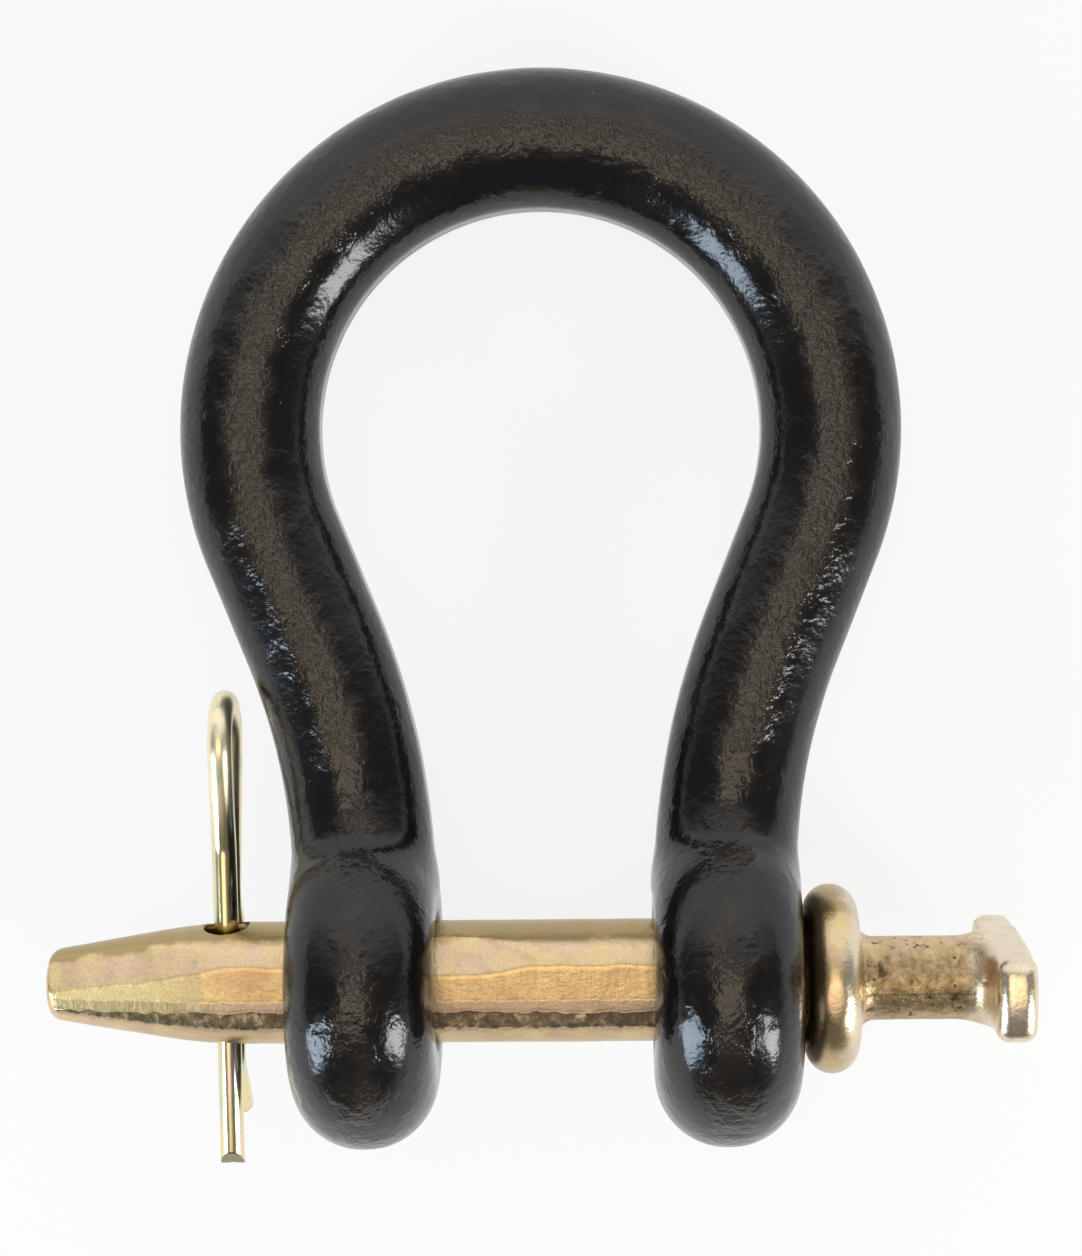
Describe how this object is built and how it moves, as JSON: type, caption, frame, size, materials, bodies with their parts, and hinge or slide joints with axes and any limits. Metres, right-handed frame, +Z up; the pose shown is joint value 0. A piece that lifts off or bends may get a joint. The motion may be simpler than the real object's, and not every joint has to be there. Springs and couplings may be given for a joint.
{
  "type": "straight clevis",
  "caption": "Forged bow clevis with a head pin through both ears, held by a hairpin clip, for joining a chain or drawbar.",
  "frame": {"origin": "on the pin's axis, midway between the two ears", "axes": "+X along the pin towards its head, +Y from the pin towards the bow's crown, +Z up as it lies"},
  "size_m": [0.1514, 0.1706, 0.0516],
  "materials": {
    "black_enamel": "thick glossy black enamel over a rough forging, brownish where the trimmed flash shows through",
    "yellow_zinc": "satin yellow-chromated zinc plating with pink and green tints over a sheared forging",
    "bright_zinc_wire": "glossy iridescent yellow zinc plating on smooth drawn wire"
  },
  "bodies": {
    "bow": {"clevis_bow": "black_enamel"},
    "pin": {"clevis_pin": "yellow_zinc", "hairpin_clip": "bright_zinc_wire"}
  },
  "joints": [
    {"name": "pin_spin", "type": "hinge", "parent": "bow", "child": "pin", "pos_m": [0, 0, 0], "axis": [1, 0, 0], "continuous": true}
  ]
}
